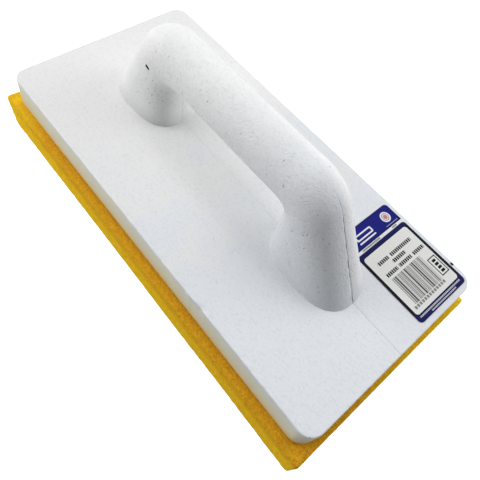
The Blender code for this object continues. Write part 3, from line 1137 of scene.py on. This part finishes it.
def sponge_material():
    """Golden open-cell foam: fine pores darkened by painted shade, pale struts, and painted shade from the
    plate, more orange, on the near ledge.
    """
    made, tree, shader = new_material("sponge_foam_finish")
    place, parts = object_place(tree)
    cell = put(tree, "TexVoronoi", {"Vector": place, "Scale": 1.0 / CELL_SIZE}).outputs["Distance"]
    tiny = remap(tree, cell, *CELL_RANGE)
    tone = remap(tree, grain(tree, place, *SPONGE_TONE_GRAIN), *SPONGE_TONE_RANGE)
    colour = paint(tree, tone, SPONGE_DEEP, SPONGE_PALE)
    # Painted shade from the plate on the near ledge: darker and more orange, fading to the rear and to the
    # outer rim.
    ledge_shade = times(tree, remap(tree, parts[2], *LEDGE_SHADE_HEIGHTS), remap(tree, parts[1], *LEDGE_SHADE_NEAR))
    ends = times(tree, remap(tree, parts[0], *LEDGE_SHADE_REAR), remap(tree, parts[1], *LEDGE_SHADE_RIM))
    colour = paint(tree, times(tree, ledge_shade, ends), colour, paint(tree, tone, SPONGE_LEDGE_SHADE, SPONGE_LEDGE_SHADE_WARM))
    # Painted shade in the cells and pores.
    colour = paint(tree, times(tree, tiny, CELL_SHADE_TINT), colour, SPONGE_PORE_SHADE)
    colour = paint(tree, times(tree, mask_attribute(tree, "pore"), PORE_SHADE_TINT), colour, SPONGE_PORE_SHADE)
    normal = bump(tree, opposite(tree, tiny), CELL_DEPTH)
    normal = bump(tree, grain(tree, place, *SPONGE_GRIT_GRAIN), SPONGE_GRIT_DEPTH, normal)
    feed(tree, shader, {"Base Color": colour, "Roughness": SPONGE_ROUGHNESS,
                        "Specular IOR Level": 0.0, "Normal": normal})
    return made


def adhesive_material():
    """Dried contact adhesive: amber, uneven and a little glossy."""
    made, tree, shader = new_material("contact_adhesive_finish")
    place, _ = object_place(tree)
    colour = paint(tree, grain(tree, place, *GLUE_TONE_GRAIN), GLUE_DARK, GLUE_PALE)
    lumps = bump(tree, grain(tree, place, *GLUE_LUMP_GRAIN), GLUE_LUMP_DEPTH)
    feed(tree, shader, {"Base Color": colour, "Roughness": GLUE_ROUGHNESS, "Normal": lumps})
    return made


# ---- label print


def box_mask_group():
    """Node group: 1 inside a rounded rectangle, 0 outside."""
    tree = bpy.data.node_groups.new("print_box", "ShaderNodeTree")
    face = tree.interface
    for name in ("Place", "Middle", "Half"):
        face.new_socket(name, in_out="INPUT", socket_type="NodeSocketVector")
    face.new_socket("Radius", in_out="INPUT", socket_type="NodeSocketFloat")
    face.new_socket("Mask", in_out="OUTPUT", socket_type="NodeSocketFloat")
    place, middle, half, radius = list(tree.nodes.new("NodeGroupInput").outputs)[:4]
    result = tree.nodes.new("NodeGroupOutput")
    away = vector_maths(tree, "ABSOLUTE", vector_maths(tree, "SUBTRACT", place, middle))
    away = vector_maths(tree, "ADD", vector_maths(tree, "SUBTRACT", away, half), radius)
    parts = put(tree, "SeparateXYZ", {0: away}).outputs
    out_x = maths(tree, "MAXIMUM", parts[0], 0.0)
    out_y = maths(tree, "MAXIMUM", parts[1], 0.0)
    squares = maths(tree, "ADD", times(tree, out_x, out_x), times(tree, out_y, out_y))
    within = maths(tree, "MINIMUM", maths(tree, "MAXIMUM", parts[0], parts[1]), 0.0)
    distance = maths(tree, "ADD", maths(tree, "SQRT", squares), within)
    distance = maths(tree, "SUBTRACT", distance, radius)
    tree.links.new(remap(tree, distance, -PRINT_SOFT_MM, PRINT_SOFT_MM, 1.0, 0.0), result.inputs[0])
    return tree


class Print:
    """Paints rounded rectangles over each other; sizes are millimetres on the label."""

    def __init__(self, tree, place, ground):
        self.tree = tree
        self.colour = ground
        self.group = box_mask_group()
        shift = (LABEL_LONG_MM / 2, LABEL_WIDE_MM / 2, 0.0)
        sized = put(tree, "VectorMath", {0: place, "Scale": 1.0 / MM}, operation="SCALE").outputs[0]
        self.place = vector_maths(tree, "ADD", sized, shift)
        self.across = put(tree, "SeparateXYZ", {0: self.place}).outputs[1]

    def box(self, colour, down, across, radius=0.0, pitch=0.0, strength=1.0):
        """Paint one rectangle: down and across are (start, end); a pitch breaks it into dashes."""
        made = self.tree.nodes.new("ShaderNodeGroup")
        made.node_tree = self.group
        middle = (sum(down) / 2, sum(across) / 2, 0.0)
        half = ((down[1] - down[0]) / 2, (across[1] - across[0]) / 2, PRINT_DEEP_MM)
        feed(self.tree, made, {0: self.place, 1: middle, 2: half, 3: radius})
        mask = made.outputs[0]
        if pitch > 0.0:
            cycle = maths(self.tree, "FRACT", maths(self.tree, "DIVIDE", self.across, pitch))
            mask = times(self.tree, mask, maths(self.tree, "LESS_THAN", cycle, DASH_SHARE))
        if strength < 1.0:
            mask = times(self.tree, mask, strength)
        self.colour = paint(self.tree, mask, self.colour, colour)


def stripe_rows():
    """Plain stripes in place of a code block."""
    rows = []
    start = STRIPES_ACROSS[0]
    for number in range(STRIPE_COUNT):
        end = start + STRIPE_WIDTHS[number % len(STRIPE_WIDTHS)]
        rows.append((LABEL_BLACK, STRIPES_DOWN, (start, end), 0.0, 0.0, STRIPE_STRENGTH))
        start = end + STRIPE_SPACES[number % len(STRIPE_SPACES)]
    return tuple(rows)


def label_material():
    """The sticker's print: blue head, framed panel, dashed bars and plain stripes for the text."""
    made, tree, shader = new_material("label_finish")
    place, _ = object_place(tree)
    ink = Print(tree, place, paint(tree, grain(tree, place, *STOCK_GRAIN), LABEL_WHITE, LABEL_PANEL))
    for rows in (HEAD_ROWS, FRAME_ROWS, WORD_ROWS, STRIPES_GROUND, stripe_rows(),
                 CODE_ROWS, BLOCK_ROWS, FOOT_ROWS):
        for row in rows:
            ink.box(*row)
    normal = bump(tree, grain(tree, place, *LABEL_GRAIN), LABEL_DEPTH)
    feed(tree, shader, {"Base Color": ink.colour, "Roughness": LABEL_ROUGHNESS,
                        "Specular IOR Level": LABEL_SPECULAR, "Normal": normal})
    return made


# ---- stage, light and camera


def make_floor():
    """A plain pale floor that can be looked through from below."""
    bm = bmesh.new()
    bmesh.ops.create_grid(bm, x_segments=FLOOR_CELLS, y_segments=FLOOR_CELLS, size=FLOOR_HALF)
    floor = bmesh_object("floor", bm)
    floor.location.z = -FLOOR_DROP
    made, tree, shader = new_material("floor_finish")
    feed(tree, shader, {"Base Color": rgba(FLOOR_COLOUR), "Roughness": FLOOR_ROUGHNESS,
                        "Specular IOR Level": 0.0})
    glow = put(tree, "Emission", {0: rgba(WHITE), 1: FLOOR_GLOW}).outputs[0]
    seen = put(tree, "AddShader", {0: shader.outputs[0], 1: glow}).outputs[0]
    path = put(tree, "LightPath").outputs["Is Camera Ray"]
    lit = put(tree, "MixShader", {0: path, 1: shader.outputs[0], 2: seen}).outputs[0]
    behind = put(tree, "NewGeometry").outputs["Backfacing"]
    clear = put(tree, "BsdfTransparent").outputs[0]
    both = put(tree, "MixShader", {0: behind, 1: lit, 2: clear}).outputs[0]
    tree.links.new(both, tree.nodes["Material Output"].inputs["Surface"])
    floor.data.materials.append(made)


def make_world():
    """A plain white backdrop for the camera, which gives no light of its own."""
    world = bpy.data.worlds.new("studio")
    bpy.context.scene.world = world
    world.use_nodes = True
    tree = world.node_tree
    tree.nodes.clear()
    dark = put(tree, "Background", {0: rgba(BLACK), 1: 1.0}).outputs[0]
    white = put(tree, "Background", {0: rgba(WHITE), 1: 1.0}).outputs[0]
    path = put(tree, "LightPath").outputs["Is Camera Ray"]
    mixed = put(tree, "MixShader", {0: path, 1: dark, 2: white}).outputs[0]
    tree.links.new(mixed, put(tree, "OutputWorld").inputs["Surface"])


def make_light(name, azimuth, elevation, power):
    """A square soft light that points at the float."""
    data = bpy.data.lights.new(name, "AREA")
    data.shape = "SQUARE"
    data.size = LIGHT_SIZE
    data.energy = power
    light = link(name, data)
    turn, rise = radians(azimuth), radians(elevation)
    away = Vector((cos(turn) * cos(rise), sin(turn) * cos(rise), sin(rise)))
    light.location = Vector(LIGHT_AIM) + away * LIGHT_DISTANCE
    light.rotation_euler = away.to_track_quat("Z", "Y").to_euler()
    light.visible_camera = False


def make_camera():
    """The camera, over the near front corner and looking down along the float."""
    data = bpy.data.cameras.new("camera")
    data.lens = CAMERA_LENS_MM
    data.sensor_width = CAMERA_SENSOR_MM
    data.shift_x, data.shift_y = CAMERA_SHIFT
    data.clip_start = CAMERA_NEAR
    camera = link("camera", data)
    camera.location = CAMERA_PLACE
    camera.rotation_euler = Euler([radians(angle) for angle in CAMERA_TURN])
    bpy.context.scene.camera = camera


def main():
    """Build every piece around the frame, then the stage."""
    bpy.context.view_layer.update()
    make_sponge()
    make_adhesive()
    make_body()
    make_label()
    make_floor()
    make_world()
    for light in LIGHTS:
        make_light(*light)
    make_camera()
    bpy.context.scene.view_settings.view_transform = "Standard"


main()
